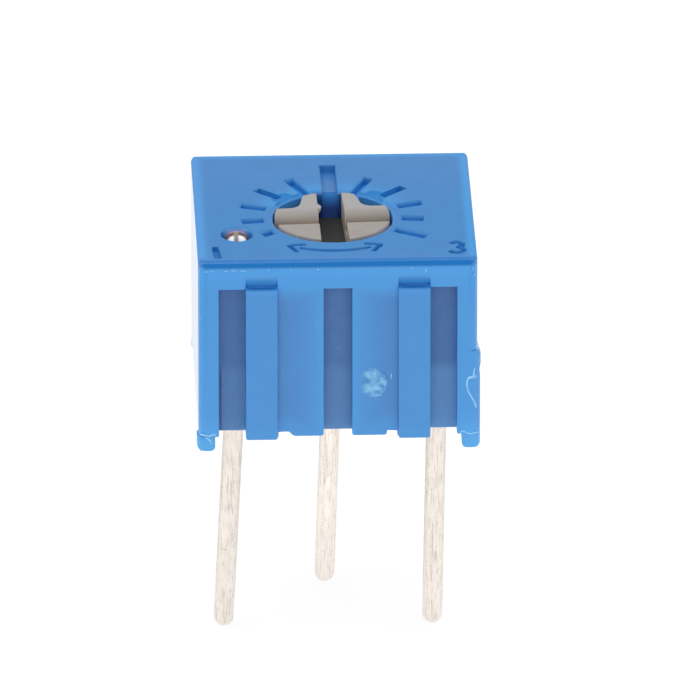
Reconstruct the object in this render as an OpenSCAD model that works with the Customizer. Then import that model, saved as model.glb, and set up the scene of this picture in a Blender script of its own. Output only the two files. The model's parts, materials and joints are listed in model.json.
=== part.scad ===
// Single-turn trimmer potentiometer with a square sealed body, a slotted
// rotor in the top face and three round board terminals.
// Millimetres. X runs left to right, Y front to back, Z up. The origin is
// the middle terminal's axis at the board's face, where the feet stand.

/* [Body] */
// Width of the moulded body, left to right
body_width = 6.99; // [6.0:0.01:10.0]
// Depth of the body, front to back, without the ribs
body_depth = 6.60; // [6.0:0.01:10.0]
// Height of the top face above the board
body_height = 5.18; // [4.6:0.01:8.0]
// Height of the corner feet below the body's rim
foot_height = 0.38; // [0.1:0.01:1.0]
// Width and depth of a corner foot
foot_width = 0.46; // [0.3:0.01:1.0]
// Radius of the upright corners
corner_radius = 0.25; // [0.05:0.01:0.4]
// Radius of the top face's front edge
front_edge_radius = 0.20; // [0.05:0.01:0.4]
// Radius of the top face's other edges
top_edge_radius = 0.10; // [0.05:0.01:0.4]
// Height above the board up to which the right front corner stands out
swell_height = 2.62; // [1.5:0.01:3.5]
// Most that the right front corner stands out
right_step = 0.09; // [0.05:0.01:0.2]
// Length over which that corner fades towards the back
swell_fade = 0.50; // [0.2:0.01:1.0]
// Most that the left front foot stands out
left_step = 0.04; // [0.02:0.01:0.2]
// Thickness of the side and back walls
side_wall = 0.50; // [0.3:0.01:1.0]
// Thickness of the front wall at its panels
front_wall = 0.80; // [0.6:0.01:1.2]
// Thickness of the top wall
top_wall = 0.98; // [0.6:0.01:1.5]

/* [Front face] */
// Width of the middle groove
middle_groove_width = 0.71; // [0.3:0.01:1.2]
// Width of a side groove
side_groove_width = 0.67; // [0.3:0.01:1.0]
// Depth of the three grooves
groove_depth = 0.40; // [0.1:0.01:0.6]
// Distance of the groove tops below the top face
groove_drop = 0.75; // [0.4:0.01:1.5]
// Width of a rib
rib_width = 0.80; // [0.3:0.01:1.2]
// Height of a rib over the panels
rib_rise = 0.12; // [0.02:0.01:0.3]
// Reach of a rib below the panels
rib_drop = 0.04; // [0.01:0.01:0.2]
// Distance from the body's middle to a rib's inner side
rib_inset = 1.51; // [1.0:0.01:2.0]
// Height of the hollow above a rib
scoop_height = 0.38; // [0.1:0.01:0.5]
// Depth of the hollow where it meets the rib
scoop_depth = 0.14; // [0.02:0.01:0.3]
// Width of the vent notch beside a rib
vent_width = 0.28; // [0.1:0.01:0.5]
// Height of the vent notch
vent_height = 0.13; // [0.05:0.01:0.4]
// Slant of the left vent notch's inner side
vent_slant = 0.12; // [0.0:0.01:0.3]

/* [Dial] */
// Sideways offset of the rotor's axis from the body's middle
rotor_side = -0.04; // [-0.1:0.01:0.1]
// Distance of the rotor's axis in front of the body's middle
rotor_offset = 0.53; // [0.0:0.01:0.7]
// Radius of the rotor's hole in the top face
rotor_hole_radius = 1.51; // [1.2:0.01:2.0]
// Width of the bevel round the rotor's hole
hole_bevel = 0.09; // [0.02:0.01:0.2]
// Angle between two dial marks
mark_pitch = 24; // [12:1:30]
// Turn of all the dial marks to the left
mark_turn = 0.6; // [-2:0.1:2]
// Number of dial marks on each side of the middle one
marks_each_side = 5; // [1:1:5]
// Width of a dial mark
mark_width = 0.24; // [0.1:0.01:0.4]
// Width of the middle dial mark
middle_mark_width = 0.37; // [0.1:0.01:0.6]
// Gap between the rotor's hole and a dial mark
mark_gap = 0.24; // [0.1:0.01:0.5]
// Radius reached by the marks next to the middle one
mark_reach = 2.50; // [2.1:0.01:2.8]
// Sideways distance reached by the marks beside the rotor
mark_side_reach = 2.27; // [2.1:0.01:2.8]
// Radius reached by the mark next to the sight hole
short_mark_reach = 2.07; // [1.9:0.01:2.8]
// Reach of the middle mark beyond the hole
middle_mark_length = 1.60; // [0.5:0.01:2.0]
// Depth of the dial marks
mark_depth = 0.20; // [0.05:0.01:0.4]
// Radius of the hole over the first terminal
sight_hole_radius = 0.40; // [0.34:0.01:0.5]

/* [Rotor] */
// Gap around the rotor's head
head_clearance = 0.05; // [0.02:0.01:0.1]
// Thickness of the rotor's head
head_thickness = 0.92; // [0.8:0.01:1.2]
// Radius of the rotor's neck inside the seal
neck_radius = 1.15; // [0.8:0.01:1.2]
// Length of the rotor's neck
neck_length = 0.46; // [0.4:0.01:0.8]
// Gap between the rotor's flange and the collar above it
flange_clearance = 0.03; // [0.01:0.01:0.1]
// Radius of the rotor's flange
flange_radius = 1.80; // [1.6:0.01:1.9]
// Thickness of the flange
flange_thickness = 0.45; // [0.3:0.01:0.8]
// Width of the driver slot
slot_width = 0.65; // [0.4:0.01:0.8]
// Depth of the driver slot
slot_depth = 0.70; // [0.4:0.01:0.8]
// Lean of the slot's left wall, which opens the slot towards the front
slot_lean = 1.8; // [0:0.1:3]
// Distance from the axis to the cross groove's front edge
cross_front = 0.42; // [0.2:0.01:0.6]
// Distance from the axis to the cross groove's back wall
cross_back = 0.08; // [0.0:0.01:0.3]
// Depth of the cross groove
cross_depth = 0.45; // [0.2:0.01:0.6]
// Radius of the cross groove's rounded back edge
cross_round = 0.34; // [0.1:0.01:0.44]
// Radius of the two hollows in the head's rim
hollow_radius = 0.32; // [0.1:0.01:0.4]
// Sideways distance of a hollow from the axis
hollow_side = 1.07; // [0.8:0.01:1.2]
// Backward distance of a hollow from the axis
hollow_back = 0.88; // [0.6:0.01:1.1]
// Slant of a hollow's inner side
hollow_slant = 12; // [0:1:20]
// Angle at which the rotor stands in its model position
rotor_angle = 2.5; // [-130:0.5:130]
// Half of the rotor's travel between its stops
half_travel = 130; // [100:1:140]
// Radius reached by the stop tab
tab_reach = 2.20; // [2.0:0.01:2.3]
// Half of the angle that the stop tab covers
tab_half_angle = 8; // [4:1:12]

/* [Seal] */
// Thickness of the seal ring's section
seal_section = 0.34; // [0.25:0.01:0.4]

/* [Contact spring] */
// Thickness of the spring's plate
spring_plate = 0.10; // [0.05:0.01:0.2]
// Radius of the spring's plate
spring_radius = 1.60; // [1.2:0.01:1.7]
// Radius of the hub that carries the plate
hub_radius = 0.42; // [0.3:0.01:0.6]
// Thickness of a contact finger
finger_thickness = 0.08; // [0.04:0.01:0.15]
// Width of an outer finger
finger_width = 0.22; // [0.1:0.01:0.3]
// Distance between the two outer fingers
finger_spacing = 0.60; // [0.4:0.01:0.9]
// Gap drawn between a finger's tip and what it slides on
finger_clearance = 0.02; // [0.01:0.01:0.05]

/* [Element] */
// Height of the ceramic plate's upper face above the board
element_height = 2.10; // [1.6:0.01:3.0]
// Thickness of the ceramic plate
element_thickness = 0.64; // [0.3:0.01:1.0]
// Gap between the ceramic plate and the walls
element_gap = 0.05; // [0.02:0.01:0.1]
// Middle radius of the resistive track
track_radius = 1.50; // [1.2:0.01:1.6]
// Width of the resistive track
track_width = 0.60; // [0.3:0.01:0.8]
// Half of the angle that the track covers
track_half_angle = 120; // [90:1:125]
// Thickness of the printed layers
film_thickness = 0.05; // [0.03:0.01:0.1]
// Radius of the collector under the rotor's axis
collector_radius = 0.45; // [0.3:0.01:0.6]

/* [Terminals] */
// Diameter of the round terminals
pin_diameter = 0.51; // [0.4:0.01:0.6]
// Distance between the two outer terminals
pin_span = 5.08; // [5.08:0.01:5.3]
// Distance of the middle terminal behind the outer ones
pin_row = 2.54; // [2.0:0.01:2.8]
// Distance of the outer terminals in front of the body's middle
pin_front = 1.50; // [1.0:0.01:1.6]
// Length of a terminal below the board's face
pin_length = 5.65; // [2.5:0.01:8.0]
// Sideways lean of the first terminal
lean_1 = 2.8; // [0:0.1:5]
// Sideways lean of the middle terminal
lean_2 = 1.9; // [0:0.1:5]
// Sideways lean of the third terminal
lean_3 = 1.0; // [0:0.1:5]
// Height of the solder on a pad
solder_height = 0.32; // [0.1:0.01:0.5]
// Radius of the solder's foot on a pad
solder_radius = 0.38; // [0.32:0.01:0.4]
// Height of the potting's lower face above the board
potting_height = 0.45; // [0.4:0.01:1.0]

/* [Hidden] */
$fn = 96;
e = 0.01;

// the body's place over the middle terminal
body_y = pin_front - pin_row;
front_y = body_y - body_depth / 2;
back_y = body_y + body_depth / 2;
half_width = body_width / 2;
rim_z = foot_height;
ceiling_z = body_height - top_wall;
cavity_x = half_width - side_wall;
cavity_front = front_y + front_wall;
cavity_back = back_y - side_wall;
cavity_depth = cavity_back - cavity_front;
groove_top = body_height - groove_drop;
side_groove_out = rib_inset + rib_width + side_groove_width;

// the rotor's heights, from the top face down
axis_y = body_y - rotor_offset;
head_radius = rotor_hole_radius - head_clearance;
neck_top = body_height - head_thickness;
flange_top = neck_top - neck_length;
flange_bottom = flange_top - flange_thickness;
collar_bottom = flange_top + flange_clearance;
collar_radius = flange_radius + 0.10;
hub_bottom = flange_bottom - spring_plate - 0.10;
tab_clearance = 0.07;
stop_angle = half_travel + tab_half_angle + 0.5;

// the seal ring sits between the neck and the hole
seal_radius = neck_radius + e / 2 + seal_section / 2;
seal_z = (neck_top + collar_bottom) / 2;

// the printed layers and what slides on them
film_top = element_height + film_thickness;
finger_bottom = film_top + finger_clearance;
finger_top = flange_bottom - spring_plate;
track_in = track_radius - track_width / 2;
track_out = track_radius + track_width / 2;
pad_limit = half_travel + 23;
link_gap = 0.12;
link_width = 0.34;

pin_radius = pin_diameter / 2;
pin_places = [[-pin_span / 2, -pin_row], [0, 0], [pin_span / 2, -pin_row]];
leans = [lean_1, lean_2, lean_3];
pin_top = film_top + solder_height + 0.12;
bead_radius = sight_hole_radius - 0.11;
sight_hole = [-pin_span / 2 + 0.06, -pin_row - 0.07];
bead_top = body_height + 0.025;

blue = [0.27, 0.55, 0.82];
cream = [0.80, 0.77, 0.71];
seal_black = [0.10, 0.10, 0.11];
spring_metal = [0.80, 0.78, 0.72];
ceramic_white = [0.93, 0.93, 0.90];
track_black = [0.12, 0.12, 0.13];
pad_silver = [0.75, 0.74, 0.72];
tinned = [0.82, 0.81, 0.78];
solder_grey = [0.70, 0.70, 0.70];
resin_blue = [0.20, 0.32, 0.52];

// a box between two corners
module block(a, b) translate(a) cube(b - a);

// puts children on the rotor's axis
module on_axis(z = 0) translate([rotor_side, axis_y, z]) children();

// both sides of the body
module both_sides() { children(); mirror([1, 0, 0]) children(); }

// an outline with two round upper corners, drawn on its bottom middle
module arch(width, height, left_radius, right_radius) {
  translate([-width / 2, 0]) square([width / 2, height - left_radius]);
  square([width / 2, height - right_radius]);
  translate([-width / 2 + left_radius, 0])
    square([width - left_radius - right_radius, height]);
  translate([-width / 2 + left_radius, height - left_radius]) circle(left_radius);
  translate([width / 2 - right_radius, height - right_radius]) circle(right_radius);
}

// the body's plan, with round corners
module footprint() {
  square([body_width - 2 * corner_radius, body_depth], center = true);
  square([body_width, body_depth - 2 * corner_radius], center = true);
  for (x = [-1, 1], y = [-1, 1])
    translate([x * (half_width - corner_radius), y * (body_depth / 2 - corner_radius)])
      circle(corner_radius);
}

// the body's outer block, with round upright corners and round top edges
module body_block() intersection() {
  translate([0, body_y, rim_z]) linear_extrude(body_height - rim_z) footprint();
  translate([0, back_y + 1, rim_z]) rotate([90, 0, 0]) linear_extrude(body_depth + 2)
    arch(body_width, body_height - rim_z, top_edge_radius, top_edge_radius);
  translate([-half_width - 1, body_y, rim_z]) rotate([90, 0, 90])
    linear_extrude(body_width + 2)
      arch(body_depth, body_height - rim_z, front_edge_radius, top_edge_radius);
}

// the lower part of the right front corner: it stands out, most just under
// its upper end, and fades towards the back
module corner_swell() {
  full = foot_width - body_depth / 2;
  slope = right_step / swell_fade;
  low = right_step - 0.02;
  intersection() {
    translate([0, body_y, rim_z]) linear_extrude(swell_height + 0.1 - rim_z) intersection() {
      translate([right_step, 0]) footprint();
      polygon([[0, -body_depth], [half_width + 1, -body_depth], [half_width + 1, full - (1 - right_step) / slope],
               [half_width - 0.05, full + swell_fade + 0.05 / slope], [0, full + swell_fade + 0.05 / slope]]);
    }
    translate([0, back_y, 0]) rotate([90, 0, 0]) linear_extrude(body_depth + 1)
      polygon([[0, 0], [half_width + low, 0], [half_width + low, swell_height - 0.72],
               [half_width + low - 0.015, swell_height - 0.50], [half_width + right_step, swell_height - 0.34],
               [half_width + right_step, swell_height - 0.13], [half_width - 0.03, swell_height + 0.04],
               [0, swell_height + 0.04]]);
  }
}

// a foot under a corner, rounded at its lower edges; step is how far its
// side stands out, and plan_step how far its round corner does
module foot(step, plan_step) {
  r = min(0.12, foot_height / 2);
  intersection() {
    translate([plan_step, 0, 0]) linear_extrude(rim_z + e) footprint();
    translate([half_width + step - foot_width, body_depth / 2 + 1, 0]) rotate([90, 0, 0])
      linear_extrude(foot_width + 1) {
        translate([r, 0]) square([foot_width - 2 * r, rim_z + e]);
        translate([0, r]) square([foot_width, rim_z + e - r]);
        for (x = [r, foot_width - r]) translate([x, r]) circle(r);
      }
  }
}

// the four feet; the two in front stand out a little at the sides
module feet() for (sx = [0, 1], sy = [0, 1])
  translate([0, body_y, 0]) mirror([sx, 0, 0]) mirror([0, sy, 0])
    if (sy == 0) foot(0, 0);
    else if (sx == 0) foot(right_step - 0.02, right_step);
    else foot(left_step, left_step);

// the ribs of the front face
module rib()
  block([rib_inset, front_y - rib_rise, rim_z - rib_drop],
        [rib_inset + rib_width, front_y + e, groove_top + 0.03]);

// the hollow that runs down to a rib's upper end, deeper and steeper on its way
module scoop()
  translate([rib_inset, front_y, groove_top + 0.03]) rotate([90, 0, 90])
    linear_extrude(rib_width)
      polygon(concat([[-1, scoop_height], [-1, 0]], [for (i = [0:8])
        let(t = 1 - i / 8) [scoop_depth * t * t, scoop_height * (1 - t)]]));

module side_groove()
  block([rib_inset + rib_width, front_y - 1, rim_z - 1],
        [side_groove_out, front_y + groove_depth, groove_top]);

// a notch in the panel's lower edge, beside a rib
module vent(slant) {
  outer = rib_inset - 0.02;
  inner = rib_inset - vent_width;
  translate([0, cavity_front + 1, rim_z]) rotate([90, 0, 0])
    linear_extrude(cavity_front - front_y + 2)
      polygon([[outer, -1], [outer, vent_height], [inner, vent_height],
               [inner - slant, 0], [inner - slant, -1]]);
}

// a sector of a ring around the rotor's axis, with its angles from the back
module ring_sector(r0, r1, a0, a1) {
  steps = max(1, ceil((a1 - a0) / 30));
  intersection() {
    difference() { circle(r1); circle(r0); }
    polygon(concat([[0, 0]], [for (i = [0:steps])
      let(a = a0 + (a1 - a0) * i / steps) [-sin(a), cos(a)] * 2 * r1]));
  }
}

// the radius that a dial mark reaches, by its number from the middle one
function mark_end(i, left) =
  i == marks_each_side && left ? short_mark_reach
  : i <= 2 ? min(mark_reach, mark_side_reach / sin(i * mark_pitch))
  : mark_side_reach / sin(i * mark_pitch);

// the dial marks sunk in the top face
module dial_marks() on_axis(body_height - mark_depth) rotate(mark_turn) {
  translate([-middle_mark_width / 2, 0, 0])
    cube([middle_mark_width, rotor_hole_radius + middle_mark_length, 1]);
  for (i = [1:marks_each_side], side = [-1, 1]) {
    start = i == 1 ? 0 : rotor_hole_radius + mark_gap;
    rotate(side * i * mark_pitch) translate([-mark_width / 2, start, 0])
      cube([mark_width, mark_end(i, side == 1) - start, 1]);
  }
}

// the block inside the front wall that stops the rotor's tab
module stop_block() intersection() {
  on_axis(flange_bottom - 0.05) linear_extrude(ceiling_z - flange_bottom + 0.06)
    ring_sector(flange_radius + tab_clearance, 2 * tab_reach, stop_angle, 360 - stop_angle);
  block([-cavity_x, cavity_front - e, 0], [cavity_x, axis_y, body_height]);
}

module housing() color(blue) difference() {
  union() {
    difference() {
      union() { body_block(); corner_swell(); both_sides() rib(); }
      block([-cavity_x, cavity_front, -1], [cavity_x, cavity_back, ceiling_z]);
    }
    feet();
    // the collar that guides the rotor, and the stop beside it
    on_axis(collar_bottom) cylinder(r = collar_radius, h = ceiling_z - collar_bottom + e);
    stop_block();
    // the corner posts that the ceramic plate is pressed against
    for (y = [0, 1]) both_sides()
      block([cavity_x - 0.75, y == 0 ? cavity_front - e : cavity_back - 0.70, element_height],
            [cavity_x + e, y == 0 ? cavity_front + 0.42 : cavity_back + e, ceiling_z + e]);
  }
  on_axis() rotate_extrude() polygon([[0, collar_bottom - 1], [rotor_hole_radius, collar_bottom - 1],
    [rotor_hole_radius, body_height - hole_bevel], [rotor_hole_radius + hole_bevel + 1, body_height + 1],
    [0, body_height + 1]]);
  translate([sight_hole.x, sight_hole.y, ceiling_z - 1]) cylinder(r = sight_hole_radius, h = 3);
  dial_marks();
  block([-middle_groove_width / 2, front_y - 1, rim_z - 1],
        [middle_groove_width / 2, front_y + groove_depth, groove_top]);
  both_sides() { side_groove(); scoop(); }
  vent(0);
  mirror([1, 0, 0]) vent(vent_slant);
}

module rotor_blank() rotate_extrude()
  polygon([[0, hub_bottom], [hub_radius, hub_bottom], [hub_radius, flange_bottom],
           [flange_radius, flange_bottom], [flange_radius, flange_top],
           [neck_radius, flange_top], [neck_radius, neck_top], [head_radius, neck_top],
           [head_radius, body_height], [0, body_height]]);

// the cross groove: a sharp front edge and a rounded back edge
module cross_groove() translate([-2, 0, body_height]) rotate([90, 0, 90]) linear_extrude(4)
  difference() {
    translate([-cross_front, -cross_depth])
      square([cross_front + cross_back + cross_round, cross_depth + 1]);
    translate([cross_back, -cross_depth - 1]) square([cross_round + 1, cross_depth + 1 - cross_round]);
    translate([cross_back + cross_round, -cross_round]) circle(cross_round);
  }

// a hollow's plan: a round bottom, a slanted inner side, open to the rim
module hollow() {
  r = hollow_radius;
  a = hollow_slant;
  circle(r);
  polygon([[-r * cos(a), -r * sin(a)], [-r * cos(a) - sin(a), -r * sin(a) + cos(a)],
           [1, 1], [1, -r], [0, -r]]);
}

// the driver slot's plan, with its left wall leaning
module slot_plan() {
  lean = 2 * tan(slot_lean);
  left = slot_width / 2 + 0.02;
  polygon([[-left + lean, 2], [slot_width / 2, 2], [slot_width / 2, -2], [-left - lean, -2]]);
}

module rotor() color(cream) on_axis() rotate(rotor_angle) {
  difference() {
    rotor_blank();
    translate([0, 0, body_height - slot_depth]) linear_extrude(1) slot_plan();
    cross_groove();
    both_sides() translate([hollow_side, hollow_back, body_height - slot_depth])
      linear_extrude(1) hollow();
  }
  // the tab that meets the stop at both ends of the travel
  translate([0, 0, flange_bottom]) linear_extrude(flange_thickness)
    ring_sector(flange_radius - 0.2, tab_reach, -tab_half_angle, tab_half_angle);
}

module o_ring() color(seal_black) on_axis(seal_z) rotate(rotor_angle)
  rotate_extrude() translate([seal_radius, 0]) circle(seal_section / 2);

// one spring finger, from the plate at its back down to a rounded tip
module finger(x, width, tip_y) {
  root_y = spring_radius - 0.42;
  t = finger_thickness;
  translate([x - width / 2, 0, 0]) rotate([90, 0, 90]) linear_extrude(width)
    polygon([[root_y + 0.12, finger_top + e], [root_y, finger_top + e],
             [tip_y + 0.12, finger_bottom + t + 0.05], [tip_y, finger_bottom + t],
             [tip_y - 0.16, finger_bottom + t + 0.12], [tip_y - 0.16, finger_bottom + 0.12],
             [tip_y - 0.04, finger_bottom], [tip_y + 0.04, finger_bottom],
             [tip_y + 0.12, finger_bottom + 0.05], [root_y + 0.04, finger_top - t],
             [root_y + 0.12, finger_top - t]]);
}

module wiper() color(spring_metal) on_axis() rotate(rotor_angle) {
  translate([0, 0, finger_top]) linear_extrude(spring_plate)
    difference() { circle(spring_radius); circle(hub_radius); }
  contact_y = sqrt(pow(track_radius, 2) - pow(finger_spacing / 2 + finger_width / 2, 2));
  for (s = [-1, 1]) finger(s * (finger_spacing + finger_width) / 2, finger_width, -contact_y);
  finger(0, 0.30, 0);
}

module element_plate() color(ceramic_white) difference() {
  block([-cavity_x + element_gap, cavity_front + element_gap, element_height - element_thickness],
        [cavity_x - element_gap, cavity_back - element_gap, element_height]);
  for (p = pin_places) translate([p.x, p.y, 0]) cylinder(r = pin_radius + 0.04, h = body_height);
}

// a printed layer on the ceramic plate, kept clear of the three terminals
module printed() translate([0, 0, element_height]) linear_extrude(film_thickness) difference() {
  children();
  for (p = pin_places) translate(p) circle(pin_radius + e);
}

module resistive_track() color(track_black) printed()
  translate([rotor_side, axis_y]) rotate(180)
    ring_sector(track_in, track_out, -track_half_angle, track_half_angle);

// an end pad: the track's end, and the line that leads to its terminal, drawn
// on the right; side is 1 for the right pad, and -1 for the left, mirrored
module end_pad_shape(side) {
  line_in = track_out + link_gap;
  foot = [pin_span / 2 - side * rotor_side, -pin_row - axis_y];
  foot_angle = atan2(foot.x, foot.y);
  track_end = 180 - track_half_angle;
  translate([side * rotor_side, axis_y]) {
    ring_sector(track_in, line_in + link_width, -track_end, -(180 - pad_limit));
    ring_sector(line_in, line_in + link_width, -foot_angle, -track_end);
    rotate(-foot_angle) translate([-link_width / 2, line_in + link_width / 2])
      square([link_width, norm(foot) - line_in - link_width / 2]);
  }
  translate([pin_span / 2, -pin_row]) circle(solder_radius);
}

module end_pad_1() color(pad_silver) printed() mirror([1, 0]) end_pad_shape(-1);
module end_pad_3() color(pad_silver) printed() end_pad_shape(1);

module collector_pad() color(pad_silver) printed() {
  translate([rotor_side, axis_y]) circle(collector_radius);
  translate([-0.20, axis_y]) square([0.40, -axis_y]);
  circle(solder_radius);
}

// a terminal: straight through the potting, then leaning to its rounded tip,
// with a mitred bend at the potting's face
module pin(i, top) translate([pin_places[i].x, pin_places[i].y, potting_height]) {
  lean = leans[i];
  length = potting_height + pin_length - pin_radius;
  difference() {
    translate([0, 0, -1]) cylinder(r = pin_radius, h = top - potting_height + 1);
    rotate([0, lean / 2, 0]) translate([-2, -2, -4]) cube([4, 4, 4]);
  }
  difference() {
    rotate([0, lean, 0]) rotate_extrude() {
      translate([0, -length]) square([pin_radius, length + 1]);
      intersection() {
        translate([0, -length]) circle(pin_radius);
        translate([0, -length - 1]) square([1, 1]);
      }
    }
    rotate([0, lean / 2, 0]) translate([-2, -2, 0]) cube([4, 4, 4]);
  }
}

module terminal_1() color(tinned) {
  pin(0, bead_top - 0.30);
  // the wide tinned end that shows in the sight hole
  translate([sight_hole.x, sight_hole.y, bead_top]) rotate_extrude()
    polygon([[0, -0.62], [bead_radius - 0.06, -0.62], [bead_radius, -0.56], [bead_radius, -0.11],
             [bead_radius - 0.06, -0.045], [bead_radius - 0.16, -0.012], [0, 0]]);
}
module terminal_2() color(tinned) pin(1, pin_top);
module terminal_3() color(tinned) pin(2, pin_top);

module solder_joint(i) color(solder_grey)
  translate([pin_places[i].x, pin_places[i].y, film_top]) difference() {
    cylinder(r1 = solder_radius, r2 = pin_radius + 0.03, h = solder_height);
    translate([0, 0, -1]) cylinder(r = pin_radius, h = 3);
  }
module solder_joint_1() solder_joint(0);
module solder_joint_2() solder_joint(1);
module solder_joint_3() solder_joint(2);

module potting() color(resin_blue) difference() {
  block([-cavity_x, cavity_front, potting_height],
        [cavity_x, cavity_back, element_height - element_thickness]);
  for (p = pin_places) translate([p.x, p.y, -1]) cylinder(r = pin_radius, h = body_height);
}

housing();
rotor();
o_ring();
wiper();
element_plate();
resistive_track();
end_pad_1();
end_pad_3();
collector_pad();
terminal_1();
terminal_2();
terminal_3();
solder_joint_1();
solder_joint_2();
solder_joint_3();
potting();
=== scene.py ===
"""The looks of a small square trimmer potentiometer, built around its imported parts.

The blue housing and the greige rotor are dressed copies of their parts, with softened
edges, the moulded figures and the marks that moulding and handling left. The other
parts keep their own meshes and get their finishes here. Lengths are in metres.
"""

import json
import math

import bmesh
import bpy
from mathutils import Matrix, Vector, noise


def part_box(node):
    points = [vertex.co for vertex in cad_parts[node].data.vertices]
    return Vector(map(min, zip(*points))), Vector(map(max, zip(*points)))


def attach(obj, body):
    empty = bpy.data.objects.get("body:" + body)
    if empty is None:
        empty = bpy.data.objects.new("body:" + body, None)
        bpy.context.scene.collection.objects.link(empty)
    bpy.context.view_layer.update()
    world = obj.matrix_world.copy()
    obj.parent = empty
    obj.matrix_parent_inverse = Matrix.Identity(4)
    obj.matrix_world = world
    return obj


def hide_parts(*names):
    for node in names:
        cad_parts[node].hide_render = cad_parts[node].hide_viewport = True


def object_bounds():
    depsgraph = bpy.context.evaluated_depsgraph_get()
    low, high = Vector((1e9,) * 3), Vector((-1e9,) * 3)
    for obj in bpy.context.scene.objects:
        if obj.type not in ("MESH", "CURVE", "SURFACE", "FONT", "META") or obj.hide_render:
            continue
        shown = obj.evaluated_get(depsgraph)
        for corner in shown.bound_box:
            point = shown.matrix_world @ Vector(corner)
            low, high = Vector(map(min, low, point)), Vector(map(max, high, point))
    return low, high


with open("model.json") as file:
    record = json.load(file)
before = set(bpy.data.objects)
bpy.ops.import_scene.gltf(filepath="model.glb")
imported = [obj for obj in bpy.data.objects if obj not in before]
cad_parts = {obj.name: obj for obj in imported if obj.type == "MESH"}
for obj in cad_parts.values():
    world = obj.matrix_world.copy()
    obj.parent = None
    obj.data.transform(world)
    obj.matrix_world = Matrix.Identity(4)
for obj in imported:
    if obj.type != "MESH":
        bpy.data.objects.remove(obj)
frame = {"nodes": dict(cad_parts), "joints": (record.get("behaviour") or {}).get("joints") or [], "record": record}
cad_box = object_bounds()

MM = 0.001
scene = bpy.context.scene
nodes = frame["nodes"]

# sizes of the part that its looks follow
HALF_WIDTH = 3.495 * MM
RIB_RISE = 0.12 * MM
RIB_MIDDLE = 1.91 * MM
RIB_TOP = 4.43 * MM
GROOVE_DEPTH = 0.40 * MM
MARK_DEPTH = 0.20 * MM
HOLE_RADIUS = 1.51 * MM
SIGHT_HOLE = (-2.48 * MM, -2.61 * MM)
LIP_HALF = 0.22 * MM
LIP_Y = 0.10 * MM
SLOT_HALF = 0.325 * MM
SLOT_DEPTH = 0.70 * MM
REST_TURN = math.radians(2.5)
WIRE_ROW = 2.54 * MM

# places on the body, taken from the parts themselves
body_low, body_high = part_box("housing")
top_z = body_high.z
back_y = body_high.y
front_y = body_low.y + RIB_RISE
middle_y = (front_y + back_y) / 2
floor_z = cad_box[0].z
axis_x, axis_y, _ = frame["joints"][0]["pos_m"]


# ---------------------------------------------------------------- camera and stage

VIEW_WIDTH = 17.13 * MM
VIEW_DISTANCE = 0.55
VIEW_AZIMUTH = math.radians(-2.0)
VIEW_ELEVATION = math.radians(24.6)
LOOK_AT = Vector((0, -1.04 * MM, 0))
SHIFT_RIGHT = 0.164 * MM
SHIFT_UP = 1.375 * MM


def make_camera():
    sin_a, cos_a = math.sin(VIEW_AZIMUTH), math.cos(VIEW_AZIMUTH)
    sin_e, cos_e = math.sin(VIEW_ELEVATION), math.cos(VIEW_ELEVATION)
    forward = Vector((-sin_a * cos_e, cos_a * cos_e, -sin_e))
    right = Vector((cos_a, sin_a, 0))
    up = right.cross(forward)
    target = LOOK_AT + right * SHIFT_RIGHT + up * SHIFT_UP
    data = bpy.data.cameras.new("camera")
    data.sensor_width = 36
    data.lens = 36 * VIEW_DISTANCE / VIEW_WIDTH
    data.clip_start = 0.01
    data.clip_end = 20
    camera = bpy.data.objects.new("camera", data)
    camera.location = target - forward * VIEW_DISTANCE
    camera.rotation_euler = forward.to_track_quat("-Z", "Y").to_euler()
    scene.collection.objects.link(camera)
    scene.camera = camera


make_camera()
scene.view_settings.view_transform = "Standard"


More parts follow.
